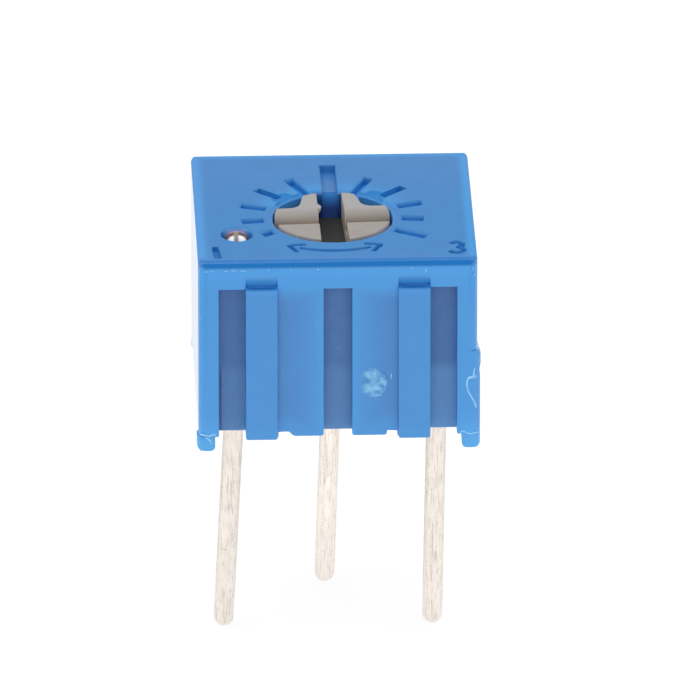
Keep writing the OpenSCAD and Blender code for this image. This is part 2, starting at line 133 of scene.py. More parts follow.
class Net:
    """A short way to write a node tree: every call adds a node and wires its inputs."""

    def __init__(self, tree):
        self.tree = tree

    def add(self, kind, settings=None, **inputs):
        node = self.tree.nodes.new(kind)
        for name, value in (settings or {}).items():
            setattr(node, name, value)
        for name, value in inputs.items():
            self.set(node, name.replace("_", " "), value)
        return node

    def set(self, node, name, value):
        socket = node.inputs[int(name)] if str(name).isdigit() else node.inputs[name]
        if isinstance(value, bpy.types.NodeSocket):
            self.tree.links.new(value, socket)
        elif isinstance(value, bpy.types.Node):
            self.tree.links.new(value.outputs[0], socket)
        else:
            socket.default_value = value

    def math(self, operation, a, b=0.0, c=0.0, clamp=False):
        node = self.add("ShaderNodeMath", {"operation": operation, "use_clamp": clamp})
        for index, value in enumerate((a, b, c)):
            self.set(node, index, value)
        return node.outputs[0]

    def mix(self, factor, a, b, blend="MIX"):
        node = self.add("ShaderNodeMix", {"data_type": "RGBA", "blend_type": blend})
        self.set(node, 0, factor)
        self.set(node, 6, a)
        self.set(node, 7, b)
        return node.outputs[2]

    def span(self, value, low, high, to_low=0.0, to_high=1.0, smooth=False):
        node = self.add(
            "ShaderNodeMapRange",
            {"interpolation_type": "SMOOTHSTEP" if smooth else "LINEAR"},
        )
        for index, x in enumerate((value, low, high, to_low, to_high)):
            self.set(node, index, x)
        return node.outputs[0]

    def fade(self, value, full, gone, smooth=False):
        """1 up to where it is full, 0 from where it is gone."""
        return self.span(value, full, gone, 1.0, 0.0, smooth)

    def times(self, value, *factors):
        for factor in factors:
            value = self.math("MULTIPLY", value, factor)
        return value

    def most(self, value, *others):
        for other in others:
            value = self.math("MAXIMUM", value, other)
        return value

    def least(self, a, b):
        return self.math("MINIMUM", a, b)

    def plus(self, a, b):
        return self.math("ADD", a, b)

    def minus(self, a, b):
        return self.math("SUBTRACT", a, b)

    def over(self, a, b):
        return self.math("DIVIDE", a, b)

    def absolute(self, value):
        return self.math("ABSOLUTE", value)

    def below(self, value, limit):
        return self.math("LESS_THAN", value, limit)

    def above(self, value, limit):
        return self.math("GREATER_THAN", value, limit)

    def near(self, value, middle, margin):
        return self.math("COMPARE", value, middle, margin)

    def length(self, across, along):
        return self.math("SQRT", self.plus(self.times(across, across), self.times(along, along)))

    def tint(self, tone, *layers):
        """Lays colours over a tone; a layer has its mask, the share it covers there and its colour."""
        for mask, share, colour in layers:
            tone = self.mix(self.times(mask, share), tone, rgb(*colour))
        return tone


def rgb(red, green, blue):
    """A colour given as it looks, 0 to 255, turned into the shader's own scale."""
    scale = [x / 255 for x in (red, green, blue)]
    return [x / 12.92 if x <= 0.04045 else ((x + 0.055) / 1.055) ** 2.4 for x in scale] + [1.0]


def object_place(net):
    return net.add("ShaderNodeTexCoord").outputs["Object"]


def object_axes(net):
    """A place's X, Y and Z on the part, three outputs that also answer to their letters."""
    return net.add("ShaderNodeSeparateXYZ", Vector=object_place(net)).outputs


def first_channel(net, colour):
    return net.add("ShaderNodeSeparateColor", Color=colour).outputs[0]


def blank_net(owner):
    """The cleared node tree of a material or a world."""
    owner.use_nodes = True
    owner.node_tree.nodes.clear()
    return Net(owner.node_tree)


def new_material(name, gloss=0.5):
    material = bpy.data.materials.new(name)
    net = blank_net(material)
    shader = net.add("ShaderNodeBsdfPrincipled")
    shader.inputs["Specular IOR Level"].default_value = gloss
    net.set(net.add("ShaderNodeOutputMaterial"), "Surface", shader)
    return material, net, shader


# soft light from below to above, the room that gloss shows, and the bright pool it shows below
WORLD_LOW, WORLD_HIGH = 0.86, 1.06
ROOM_FRONT, ROOM_BACK = 1.0, 0.62
STRIP_HEIGHT = math.radians(50)
POOL_NEAR, POOL_FAR = 1.09, 0.05
POOL_BEHIND = 0.70
FLOOR_SIZE = 0.6


def make_world():
    world = bpy.data.worlds.new("studio")
    scene.world = world
    net = blank_net(world)
    rays = net.add("ShaderNodeLightPath").outputs
    direction = net.add("ShaderNodeTexCoord").outputs["Generated"]
    x, y, z = net.add("ShaderNodeSeparateXYZ", Vector=direction).outputs
    # for gloss, the room has a dark strip from the camera's side up and over the part
    toward = net.add("ShaderNodeVectorMath", {"operation": "DOT_PRODUCT"})
    net.set(toward, 0, direction)
    net.set(toward, 1, (0.0, -math.cos(STRIP_HEIGHT), math.sin(STRIP_HEIGHT)))
    strip = net.times(net.span(toward.outputs["Value"], 0.05, 0.5, smooth=True),
                      net.fade(net.absolute(x), 0.40, 0.66, smooth=True))
    room = net.span(y, 0.2, 0.6, ROOM_FRONT, ROOM_BACK)
    dim = net.times(room, net.minus(1.0, net.times(strip, 0.96)))
    glossy = net.math("ADD", rays["Is Glossy Ray"], rays["Is Transmission Ray"], clamp=True)
    soft = net.times(net.span(z, -1.0, 1.0, WORLD_LOW, WORLD_HIGH), net.minus(1.0, glossy))
    light = net.plus(net.times(dim, glossy), soft)
    camera = rays["Is Camera Ray"]
    strength = net.plus(camera, net.times(net.minus(1.0, camera), light))
    back = net.add("ShaderNodeBackground", Color=(1, 1, 1, 1), Strength=strength)
    net.set(net.add("ShaderNodeOutputWorld"), "Surface", back)


def make_floor():
    """A white floor: plain for soft light, even for the camera, and a pool of light for gloss."""
    mesh = bpy.data.meshes.new("floor")
    corners = [(-1, -1), (1, -1), (1, 1), (-1, 1)]
    mesh.from_pydata([(x * FLOOR_SIZE, y * FLOOR_SIZE, floor_z) for x, y in corners], [], [(0, 1, 2, 3)])
    floor = bpy.data.objects.new("floor", mesh)
    scene.collection.objects.link(floor)
    material = bpy.data.materials.new("white_floor")
    net = blank_net(material)
    rays = net.add("ShaderNodeLightPath").outputs
    camera = rays["Is Camera Ray"]
    glossy = net.plus(rays["Is Glossy Ray"], rays["Is Transmission Ray"])
    seen = net.math("ADD", camera, glossy, clamp=True)
    plain = net.add("ShaderNodeBsdfDiffuse", Color=(0.86, 0.86, 0.86, 1))
    shown = net.add("ShaderNodeBsdfDiffuse", Color=(0.26, 0.26, 0.26, 1))
    # for gloss, the floor is a bright pool round the part that falls off to the dark room
    away = net.add("ShaderNodeVectorMath", {"operation": "LENGTH"}, Vector=object_place(net)).outputs["Value"]
    pool = net.times(net.span(away, 0.025, 0.055, POOL_NEAR, POOL_FAR, smooth=True),
                     net.span(object_axes(net)["Y"], -0.004, 0.004, 1.0, POOL_BEHIND))
    glow = net.add("ShaderNodeEmission", Color=(1, 1, 1, 1))
    net.set(glow, "Strength", net.plus(net.times(camera, 0.8), net.times(net.minus(1.0, camera), pool)))
    lit = net.add("ShaderNodeAddShader")
    net.set(lit, 0, shown)
    net.set(lit, 1, glow)
    choose = net.add("ShaderNodeMixShader")
    for index, value in enumerate((seen, plain, lit)):
        net.set(choose, index, value)
    net.set(net.add("ShaderNodeOutputMaterial"), "Surface", choose)
    mesh.materials.append(material)


def make_lamp(name, place, aim, size, power):
    data = bpy.data.lights.new(name, "AREA")
    data.shape = "DISK"
    data.size = size
    data.energy = power
    lamp = bpy.data.objects.new(name, data)
    lamp.location = place
    lamp.rotation_euler = (Vector(aim) - Vector(place)).to_track_quat("-Z", "Y").to_euler()
    scene.collection.objects.link(lamp)


make_world()
make_floor()
make_lamp("top_softbox", (-0.10, -0.02, 0.42), (0, 0, 0), 0.34, 0.3)


# ---------------------------------------------------------------- shared effects

def make_group(name, inputs, outputs):
    """A node group that takes and gives plain values; its inputs come with their usual values."""
    tree = bpy.data.node_groups.new(name, "ShaderNodeTree")
    for label, value in inputs.items():
        socket = tree.interface.new_socket(label, in_out="INPUT", socket_type="NodeSocketFloat")
        socket.default_value = value
    for label in outputs:
        tree.interface.new_socket(label, in_out="OUTPUT", socket_type="NodeSocketFloat")
    start = tree.nodes.new("NodeGroupInput")
    end = tree.nodes.new("NodeGroupOutput")
    return tree, Net(tree), start.outputs, end


def build_moulded_grain():
    """Fine spark-eroded grain of a moulding, with slow clouds of colour under it."""
    inputs = {"Grain size": 0.05 * MM, "Cloud size": 0.5 * MM}
    tree, net, start, end = make_group("moulded_grain", inputs, ["Grain", "Clouds"])
    place = object_place(net)
    fine = net.add("ShaderNodeTexNoise", Vector=place, Detail=3.0, Roughness=0.6,
                   Scale=net.over(1.0, start["Grain size"]))
    slow = net.add("ShaderNodeTexNoise", Vector=place, Detail=2.0, Roughness=0.5,
                   Scale=net.over(1.0, start["Cloud size"]))
    net.set(end, "Grain", fine.outputs["Fac"])
    net.set(end, "Clouds", net.span(slow.outputs["Fac"], 0.3, 0.7))
    return tree


def build_specks():
    """Scattered pale specks of dust and flash, each well under a tenth of a millimetre."""
    inputs = {"Spacing": 0.3 * MM, "Share": 0.1, "Size": 0.12}
    tree, net, start, end = make_group("specks", inputs, ["Mask"])
    cells = net.add("ShaderNodeTexVoronoi", {"voronoi_dimensions": "3D"}, Vector=object_place(net),
                    Scale=net.over(1.0, start["Spacing"])).outputs
    chosen = net.below(first_channel(net, cells["Color"]), start["Share"])
    net.set(end, "Mask", net.times(chosen, net.below(cells["Distance"], start["Size"])))
    return tree


def build_drawn_streaks():
    """Lengthwise streaks and small pits of tinned, drawn wire that stands upright."""
    inputs = {"Width": 0.03 * MM, "Length": 0.6 * MM}
    tree, net, start, end = make_group("drawn_streaks", inputs, ["Streaks", "Pits"])
    place = object_place(net)
    narrow = net.over(1.0, start["Width"])
    stretch = net.add("ShaderNodeCombineXYZ", X=narrow, Y=narrow, Z=net.over(1.0, start["Length"]))
    drawn = net.add("ShaderNodeVectorMath", {"operation": "MULTIPLY"})
    net.set(drawn, 0, place)
    net.set(drawn, 1, stretch)
    fine = net.add("ShaderNodeTexNoise", Vector=drawn, Scale=1.0, Detail=3.0, Roughness=0.6)
    spots = net.add("ShaderNodeTexNoise", Vector=place, Scale=1 / (0.07 * MM), Detail=2.0, Roughness=0.5)
    net.set(end, "Streaks", fine.outputs["Fac"])
    net.set(end, "Pits", net.span(spots.outputs["Fac"], 0.6, 0.72))
    return tree


def build_below():
    """How far a point lies between two heights: 0 at the upper one, 1 at the lower one."""
    tree, net, start, end = make_group("below", {"Upper": 0.0, "Lower": -1.0}, ["Mask"])
    net.set(end, "Mask", net.span(object_axes(net)["Z"], start["Upper"], start["Lower"]))
    return tree


def build_block_edges():
    """Masks over the block: a painted glow near its side and top edges, standing in for light that shines through
    the plastic there, and its special stretches.

    Rounding is the front edge's curve, which gets a painted dark band, Feet the outer ends of the lower rim, and
    Sunk the walls of the dial marks off the middle one.
    """
    tree, net, start, end = make_group(
        "block_edges", {"Fillet": 0.2 * MM}, ["Sides", "Top", "Rounding", "Feet", "Sunk"])
    x, y, z = object_axes(net)
    away = net.absolute(x)
    from_side = net.minus(HALF_WIDTH, away)
    from_back = net.minus(back_y, y)
    from_front = net.minus(y, front_y)
    from_top = net.minus(top_z, z)
    from_upright = net.most(from_side, net.least(from_back, from_front))
    upright = net.span(from_upright, 0.30 * MM, 0.80 * MM, 0.75, 0.0, smooth=True)
    band = net.times(net.fade(from_top, 0.62 * MM, 1.25 * MM, smooth=True),
                     net.span(from_top, 0.34 * MM, 0.55 * MM, 1.0, 0.86))
    rim = net.span(z, 0.45 * MM, 1.3 * MM, 0.6, 0.0, smooth=True)
    below_fillet = net.span(from_top, net.times(start["Fillet"], 0.6), start["Fillet"])
    net.set(end, "Sides", net.times(net.most(upright, band, rim), below_fillet))
    near_top = net.fade(from_top, 0.05 * MM, 0.08 * MM)
    edge = net.span(net.least(from_side, from_back), 0.10 * MM, 0.34 * MM, 0.7, 0.0, smooth=True)
    net.set(end, "Top", net.times(edge, near_top))
    front_side = net.fade(from_front, 0.12 * MM, 0.42 * MM, smooth=True)
    net.set(end, "Rounding", net.times(front_side, net.fade(from_top, 0.13 * MM, 0.20 * MM)))
    low = net.fade(z, 0.0, 1.1 * MM, smooth=True)
    net.set(end, "Feet", net.times(low, net.span(away, 2.8 * MM, 3.1 * MM)))
    walls = net.times(net.span(from_top, 0.015 * MM, 0.06 * MM),
                      net.fade(from_top, 0.12 * MM, 0.16 * MM))
    off_middle = net.above(net.absolute(net.minus(x, axis_x)), 0.35 * MM)
    off_corners = net.most(net.above(y, -2.95 * MM), net.below(away, 2.62 * MM))
    off_edge = net.above(y, -3.20 * MM)
    net.set(end, "Sunk", net.times(walls, net.times(off_middle, net.times(off_corners, off_edge))))
    return tree


# how strong the painted glow on the front face is, standing in for light that shines through the plastic near its
# edges, by the distance from the middle in mm: panel, rib, then corner
GLOW_STOPS = [(0.36, 0.80), (0.60, 0.50), (1.05, 0.20), (1.50, 0.05), (1.52, 0.44), (2.30, 0.50),
              (2.98, 0.74), (3.50, 0.80)]
GLOW_REACH = 4.0


def build_front_relief():
    """Masks over the front face: the painted glow on its ribs and panel edges, and the scoops in the ribs' tops,
    with painted light on their slopes and cheeks and painted shade on the ledge at their foot.
    """
    tree, net, start, end = make_group("front_relief", {}, ["Pale", "Scoop", "Hollow", "Ledge"])
    x, y, z = object_axes(net)
    away = net.absolute(x)
    ramp = net.add("ShaderNodeValToRGB", Fac=net.over(away, GLOW_REACH * MM))
    elements = ramp.color_ramp.elements
    elements[0].position = GLOW_STOPS[0][0] / GLOW_REACH
    elements[1].position = GLOW_STOPS[-1][0] / GLOW_REACH
    for place, _ in GLOW_STOPS[1:-1]:
        elements.new(place / GLOW_REACH)
    for element, (_, value) in zip(elements, GLOW_STOPS):
        element.color = (value, value, value, 1)
    on_front = net.fade(y, front_y + 0.02 * MM, front_y + 0.06 * MM)
    below_fillet = net.fade(z, top_z - 0.30 * MM, top_z - 0.22 * MM)
    net.set(end, "Pale", net.times(first_channel(net, ramp.outputs[0]), on_front, below_fillet))
    near_front = net.times(net.near(away, RIB_MIDDLE, 0.42 * MM), net.below(y, front_y + 0.35 * MM))
    behind_face = net.above(y, front_y + 0.01 * MM)
    from_middle = net.absolute(net.minus(away, RIB_MIDDLE))
    slope = net.times(net.fade(z, RIB_TOP + 0.10 * MM, RIB_TOP + 0.30 * MM),
                      net.above(z, RIB_TOP + 0.01 * MM), behind_face)
    cheek = net.times(net.above(from_middle, 0.385 * MM), behind_face,
                      net.near(z, RIB_TOP + 0.22 * MM, 0.20 * MM))
    lip = net.times(net.span(y, front_y - 0.10 * MM, front_y - 0.02 * MM, 0.3, 1.0),
                    net.fade(y, front_y + 0.03 * MM, front_y + 0.09 * MM))
    ledge = net.times(net.above(z, RIB_TOP - 0.012 * MM), net.below(z, RIB_TOP + 0.04 * MM),
                      net.span(from_middle, 0.24 * MM, 0.39 * MM, 1.0, 0.35), lip)
    scooped = net.times(net.span(y, front_y + 0.002 * MM, front_y + 0.02 * MM), near_front)
    net.set(end, "Scoop", net.times(scooped, net.below(z, RIB_TOP + 0.44 * MM)))
    net.set(end, "Hollow", net.times(net.most(slope, cheek), near_front))
    net.set(end, "Ledge", net.times(ledge, near_front))
    return tree


def build_hole_ring():
    """Masks round the rotor's hole and the sight hole.

    Mask is a soft ring behind the rotor's hole, Bore the depth down its wall for painted shade, Flank that wall
    off the middle for painted light, Mark the middle mark's floor, and the last two are the sight hole's wall, for
    painted light and a painted highlight.
    """
    tree, net, start, end = make_group(
        "hole_ring", {"Inner": 1.6 * MM, "Outer": 2.2 * MM},
        ["Mask", "Bore", "Flank", "Mark", "Sight", "Sight rim"])
    place_x, place_y, z = object_axes(net)
    x, y = net.minus(place_x, axis_x), net.minus(place_y, axis_y)
    away = net.absolute(x)
    far = net.length(x, y)
    ring = net.fade(far, start["Inner"], start["Outer"], smooth=True)
    net.set(end, "Mask", net.times(ring, net.span(y, 0.2 * MM, 1.0 * MM, smooth=True)))
    inside = net.below(far, HOLE_RADIUS + 0.05 * MM)
    middle = net.fade(away, 0.40 * MM, 0.60 * MM)
    lip = net.times(net.below(away, LIP_HALF), net.near(place_y, LIP_Y, LIP_HALF + 0.02 * MM))
    deep = net.mix(middle, net.span(z, top_z - 0.28 * MM, top_z - 0.80 * MM),
                   net.span(z, top_z - 0.10 * MM, top_z - 0.52 * MM))
    deep = net.times(net.most(inside, lip), first_channel(net, deep))
    beside = net.times(net.near(away, 0.33 * MM, 0.12 * MM), inside,
                       net.span(z, top_z - 0.02 * MM, top_z - 0.24 * MM, 0.2, 1.0))
    net.set(end, "Bore", net.most(deep, beside))
    off_middle = net.fade(middle, 0.0, 1.0)
    net.set(end, "Flank", net.times(inside, off_middle, net.below(z, top_z - 0.04 * MM)))
    mark = net.times(net.below(away, 0.30 * MM), net.near(z, top_z - MARK_DEPTH, 0.012 * MM))
    net.set(end, "Mark", net.times(mark, net.near(place_y, 0.85 * MM, 0.85 * MM)))
    across, along = net.minus(place_x, SIGHT_HOLE[0]), net.minus(place_y, SIGHT_HOLE[1])
    aside = net.absolute(across)
    sight = net.times(net.below(net.length(across, along), 0.46 * MM),
                      net.fade(z, top_z - 0.04 * MM, top_z - 0.01 * MM))
    net.set(end, "Sight", net.times(sight, net.fade(aside, 0.24 * MM, 0.38 * MM)))
    low = net.span(z, top_z - 0.03 * MM, top_z - 0.09 * MM)
    net.set(end, "Sight rim", net.times(sight, low, net.fade(aside, 0.18 * MM, 0.30 * MM)))
    return tree


GROUPS = {
    "grain": build_moulded_grain(),
    "specks": build_specks(),
    "streaks": build_drawn_streaks(),
    "below": build_below(),
    "block edges": build_block_edges(),
    "front relief": build_front_relief(),
    "hole ring": build_hole_ring(),
}


def use(net, group, **values):
    """Puts a shared effect in a material and returns what it gives."""
    node = net.add("ShaderNodeGroup", {"node_tree": GROUPS[group]})
    for name, value in values.items():
        net.set(node, name.replace("_", " "), value)
    return node.outputs


def add_bump(net, shader, height, distance, strength=1.0):
    bump = net.add("ShaderNodeBump", Height=height, Distance=distance, Strength=strength)
    net.set(shader, "Normal", bump.outputs[0])


def lay_grain(net, shader, tone, grain, rough, relief, strength=1.0):
    """Gives a finish its colour, and a roughness and a relief that follow the grain."""
    net.set(shader, "Base Color", tone)
    net.set(shader, "Roughness", net.span(grain, 0.3, 0.7, *rough))
    add_bump(net, shader, grain, relief * MM, strength)


# ---------------------------------------------------------------- finishes

FLECK = (190, 215, 235)
GLOW_BLUE = (48, 150, 224)


def finish_housing(name, roughness, spread, gloss, grain_height, ring=0.45):
    """Blue moulded plastic with grain, clouds and stray flecks, a painted glow near its edges and ribs, and
    painted light, shade and highlights laid over it.
    """
    material, net, shader = new_material(name, gloss)
    grain = use(net, "grain", Grain_size=0.055 * MM, Cloud_size=0.45 * MM)
    specks = use(net, "specks", Spacing=0.42 * MM, Share=0.05, Size=0.05)
    edges = use(net, "block edges", Fillet=0.2 * MM)
    relief = use(net, "front relief")
    hole = use(net, "hole ring", Inner=1.6 * MM, Outer=2.3 * MM)
    # painted glow: paler near the edges and ribs, standing in for light that shines through the plastic there,
    # with less of it in the scoops; the ring behind the rotor's hole and the sunk mark walls are simply paler
    glow_and_pale_marks = net.times(net.most(edges["Sides"], relief["Pale"]), net.span(relief["Scoop"], 0.0, 1.0, 1.0, 0.3))
    glow_and_pale_marks = net.most(glow_and_pale_marks, edges["Top"], net.times(hole["Mask"], ring), net.times(edges["Sunk"], ring))
    tone = net.mix(grain["Clouds"], rgb(36, 119, 190), rgb(42, 123, 193))
    tone = net.mix(glow_and_pale_marks, tone, rgb(*GLOW_BLUE))
    # painted reflection: the top face loses red, all of it towards the front, but none along its left edge,
    # standing in for a sheen that fades towards the front
    x, y, z = object_axes(net)
    painted_sheen_loss = net.times(net.above(z, top_z - 0.02 * MM), net.span(y, 1.5 * MM, -1.5 * MM, 0.35, 1.0),
                      net.span(x, -3.42 * MM, -3.05 * MM))
    tone = net.mix(painted_sheen_loss, tone, (0.0, 1.0, 1.0, 1.0), blend="MULTIPLY")
    tone = net.tint(
        tone,
        (edges["Feet"], 0.55, (74, 174, 240)),
        # painted shade: a dark band on the front edge's curve, where it reflects little
        (edges["Rounding"], 0.8, (6, 112, 190)),
        # painted light on the scoops' shaded slopes and cheeks
        (relief["Hollow"], 0.8, (80, 168, 236)),
        # painted shade on the ledge at the scoops' foot
        (relief["Ledge"], 1.0, (30, 98, 170)),
        (hole["Mark"], 1.0, (50, 127, 194)),
        # painted light on the side walls of the rotor's hole
        (hole["Flank"], 0.55, (76, 148, 222)),
        # painted shade deepening down the wall of the rotor's hole
        (hole["Bore"], 1.0, (20, 64, 138)),
        # painted light on the sight hole's wall
        (hole["Sight"], 1.0, (88, 160, 216)),
        # a painted lilac highlight round the bead, on the sight hole's wall
        (hole["Sight rim"], 0.7, (186, 184, 224)),
        (specks["Mask"], 0.5, FLECK),
    )
    net.set(shader, "Base Color", tone)
    rough = net.span(grain["Grain"], 0.3, 0.7, roughness, roughness + spread)
    net.set(shader, "Roughness", net.times(rough, net.span(edges["Rounding"], 0.0, 1.0, 1.0, 0.45)))
    shader.inputs["IOR"].default_value = 1.5
    add_bump(net, shader, grain["Grain"], grain_height * MM)
    return material


def finish_groove():
    """The groove floors: duller, and paler again where the ceramic plate lies behind them."""
    material, net, shader = new_material("groove_plastic", gloss=0.85)
    grain = use(net, "grain", Grain_size=0.05 * MM, Cloud_size=0.3 * MM)
    specks = use(net, "specks", Spacing=0.22 * MM, Share=0.10, Size=0.09)
    low = use(net, "below", Upper=2.25 * MM, Lower=1.95 * MM)["Mask"]
    x = object_axes(net)["X"]
    tone = net.mix(grain["Clouds"], rgb(52, 115, 178), rgb(61, 120, 182))
    plate = net.mix(net.above(x, 1.0 * MM), rgb(70, 130, 188), rgb(78, 143, 202))
    tone = net.mix(low, tone, plate)
    # a dark line low down along the left groove's inner edge
    left_dark_line = net.times(net.below(x, -2.90 * MM), low)
    tone = net.tint(tone, (left_dark_line, 0.7, (22, 66, 132)), (specks["Mask"], 0.35, (150, 185, 210)))
    lay_grain(net, shader, tone, grain["Grain"], (0.42, 0.6), 0.005)
    return material


def finish_rotor(name, tone_a, tone_b, gloss):
    """Greige moulded plastic: browner and darker down in its grooves with painted shade, and paler with painted
    light where it faces to the side.
    """
    material, net, shader = new_material(name, gloss)
    grain = use(net, "grain", Grain_size=0.05 * MM, Cloud_size=0.4 * MM)
    painted_recess_shade = use(net, "below", Upper=top_z - 0.03 * MM, Lower=top_z - 0.42 * MM)["Mask"]
    sunk = use(net, "below", Upper=top_z, Lower=top_z - 0.035 * MM)["Mask"]
    facing = net.add("ShaderNodeSeparateXYZ", Vector=net.add("ShaderNodeTexCoord").outputs["Normal"])
    painted_side_light = net.span(net.absolute(facing.outputs["X"]), 0.5, 0.8)
    crown = net.times(net.fade(sunk, 0.0, 1.0),
                      net.span(object_axes(net)["Y"], -1.35 * MM, -1.05 * MM))
    tone = net.mix(grain["Clouds"], rgb(*tone_a), rgb(*tone_b))
    # painted shade, browner and darker with depth, and painted light on walls that face to the side
    tone = net.tint(tone, (crown, 1.0, (160, 159, 158)), (painted_recess_shade, 0.8, (146, 121, 96)),
                    (painted_side_light, 0.8, (186, 176, 166)))
    lay_grain(net, shader, tone, grain["Grain"], (0.42, 0.55), 0.004)
    return material


def bead_colours(net, tone):
    """Painted reflections on the solder bead in the sight hole: bright lobes of glint in front, a brown arc, a
    lilac rim behind.
    """
    place_x, place_y, z = object_axes(net)
    x, y = net.minus(place_x, SIGHT_HOLE[0]), net.minus(place_y, SIGHT_HOLE[1])
    wide = net.over(net.minus(x, 0.015 * MM), 0.384 * MM)
    deep = net.over(net.plus(y, 0.30 * MM), 0.26 * MM)
    reach = net.length(wide, deep)
    stripe = net.fade(net.absolute(net.plus(x, 0.016 * MM)), 0.03 * MM, 0.085 * MM)
    lobes = net.mix(stripe, rgb(248, 249, 250), rgb(140, 132, 132))
    brown = net.mix(stripe, rgb(96, 66, 72), rgb(150, 132, 100))
    bead = net.mix(net.span(reach, 0.64, 0.90), lobes, brown)
    bead = net.mix(net.span(reach, 1.40, 1.80), bead, rgb(170, 160, 200))
    inside = net.times(net.below(net.length(x, y), 0.35 * MM), net.above(z, top_z - 0.70 * MM))
    return net.mix(inside, tone, bead), inside


def finish_wire(name, light, dark, roughness=0.34):
    """Tinned metal with lengthwise streaks and pits, with painted light that makes it brighter towards the middle
    wire, and the bead's painted reflections.
    """
    material, net, shader = new_material(name)
    streaks = use(net, "streaks", Width=0.035 * MM, Length=0.5 * MM)
    clouds = use(net, "grain", Grain_size=0.04 * MM, Cloud_size=0.3 * MM)["Clouds"]
    tone = net.mix(net.span(streaks["Streaks"], 0.52, 0.68), rgb(*light), rgb(*dark))
    tone = net.tint(tone, (streaks["Pits"], 0.35, (150, 140, 130)))
    x = object_axes(net)["X"]
    # painted light: brighter towards the middle wire
    shade = net.least(net.span(x, 0.0, WIRE_ROW, 1.17, 1.01), net.span(x, -WIRE_ROW, 0.0, 1.00, 1.17))
    grey = net.add("ShaderNodeCombineXYZ", X=shade, Y=shade, Z=shade).outputs[0]
    tone, inside = bead_colours(net, net.mix(1.0, tone, grey, blend="MULTIPLY"))
    net.set(shader, "Base Color", tone)
    net.set(shader, "Roughness", net.span(clouds, 0.0, 1.0, roughness - 0.06, roughness + 0.08))
    net.set(shader, "Metallic", net.minus(1.0, net.times(inside, 0.9)))
    add_bump(net, shader, streaks["Streaks"], 0.004 * MM, 0.8)
    return material


def finish_fired(name, light, dark, roughness, metallic=0.0, size=0.06):
    """A plain finish with a fine grain, for what is hidden or small."""
    material, net, shader = new_material(name)
    grain = use(net, "grain", Grain_size=size * MM, Cloud_size=0.25 * MM)
    tone = net.mix(grain["Clouds"], rgb(*light), rgb(*dark))
    lay_grain(net, shader, tone, grain["Grain"], (roughness - 0.08, roughness + 0.08), 0.006, 0.8)
    shader.inputs["Metallic"].default_value = metallic
    return material


def finish_whitened(name, pale, deep, share):
    """Plastic whitened by stress or tearing, in blotches."""
    material, net, shader = new_material(name)
    grain = use(net, "grain", Grain_size=0.05 * MM, Cloud_size=0.11 * MM)
    tone = net.mix(net.times(grain["Clouds"], share), rgb(*pale), rgb(*deep))
    lay_grain(net, shader, tone, grain["Grain"], (0.35, 0.6), 0.010)
    return material


blue = finish_housing("housing_plastic", 0.34, 0.14, 0.85, 0.004)
side_blue = finish_housing("polished_side", 0.07, 0.05, 0.75, 0.0002)
deep_blue = finish_housing("hollow_plastic", 0.50, 0.10, 0.25, 0.004, ring=0.0)
dull_blue = finish_groove()
greige = finish_rotor("rotor_plastic", (156, 151, 146), (150, 144, 138), 0.6)
# the slot floor's near black is partly grime and partly painted shade of the deep slot
dark_slot = finish_fired("slot_floor", (56, 56, 53), (48, 48, 44), 0.6)
crack_plastic = finish_whitened("whitened_plastic", (158, 212, 250), (100, 176, 236), 0.6)
fleck_plastic = finish_whitened("fleck_plastic", (150, 204, 240), (96, 170, 232), 0.7)

# what each part's own mesh is finished with
FINISHES = {
    "housing_plastic": blue,
    "rotor_plastic": greige,
    "tinned_wire": finish_wire("tinned_wire", (224, 216, 208), (192, 182, 172)),
    "solder": finish_wire("solder", (215, 212, 206), (180, 176, 170), roughness=0.28),
    "contact_metal": finish_wire("contact_metal", (226, 208, 170), (200, 180, 140), roughness=0.3),
    "alumina": finish_fired("alumina", (235, 235, 228), (226, 226, 220), 0.7),
    "cermet": finish_fired("cermet", (38, 38, 42), (52, 50, 52), 0.45, size=0.03),
    "conductor": finish_fired("conductor", (205, 202, 196), (186, 183, 178), 0.5, metallic=0.8, size=0.03),
    "seal_rubber": finish_fired("seal_rubber", (24, 24, 26), (33, 32, 34), 0.55),
    "potting_resin": finish_fired("potting_resin", (36, 62, 118), (46, 74, 132), 0.25),
}
for row in frame["record"]["subparts"]:
    mesh = nodes[row["node"]].data
    mesh.materials.clear()
    mesh.materials.append(FINISHES[row["material_slot"]])


# ---------------------------------------------------------------- mesh tools

def link_piece(name, mesh):
    piece = bpy.data.objects.new(name, mesh)
    scene.collection.objects.link(piece)
    return piece


def piece_from(form, name):
    """Makes a piece of a finished form, with its faces turned outward."""
    bmesh.ops.recalc_face_normals(form, faces=form.faces)
    mesh = bpy.data.meshes.new(name)
    form.to_mesh(mesh)
    form.free()
    return link_piece(name, mesh)


def skin(form, rows):
    """Joins closed rows of corners, one after the other, and caps both ends."""
    count = len(rows[0])
    for one, two in zip(rows, rows[1:]):
        for k in range(count):
            form.faces.new((one[k], one[(k + 1) % count], two[(k + 1) % count], two[k]))
    form.faces.new(rows[0])
    form.faces.new(rows[-1])


def copy_part(node, name):
    """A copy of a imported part, ready to be dressed: welded, with flat faces made whole."""
    mesh = nodes[node].data.copy()
    mesh.name = name
    if mesh.has_custom_normals:
        mesh.attributes.remove(mesh.attributes["custom_normal"])
    form = bmesh.new()
    form.from_mesh(mesh)
    bmesh.ops.remove_doubles(form, verts=form.verts, dist=1e-7)
    bmesh.ops.dissolve_limit(form, angle_limit=math.radians(1.5), verts=form.verts, edges=form.edges)
    form.to_mesh(mesh)
    form.free()
    return link_piece(name, mesh)


def set_materials(part, *finishes):
    part.data.materials.clear()
    for finish in finishes:
        part.data.materials.append(finish)
    return range(len(finishes))


def apply_modifiers(part):
    graph = bpy.context.evaluated_depsgraph_get()
    mesh = bpy.data.meshes.new_from_object(part.evaluated_get(graph))
    part.modifiers.clear()
    part.data = mesh


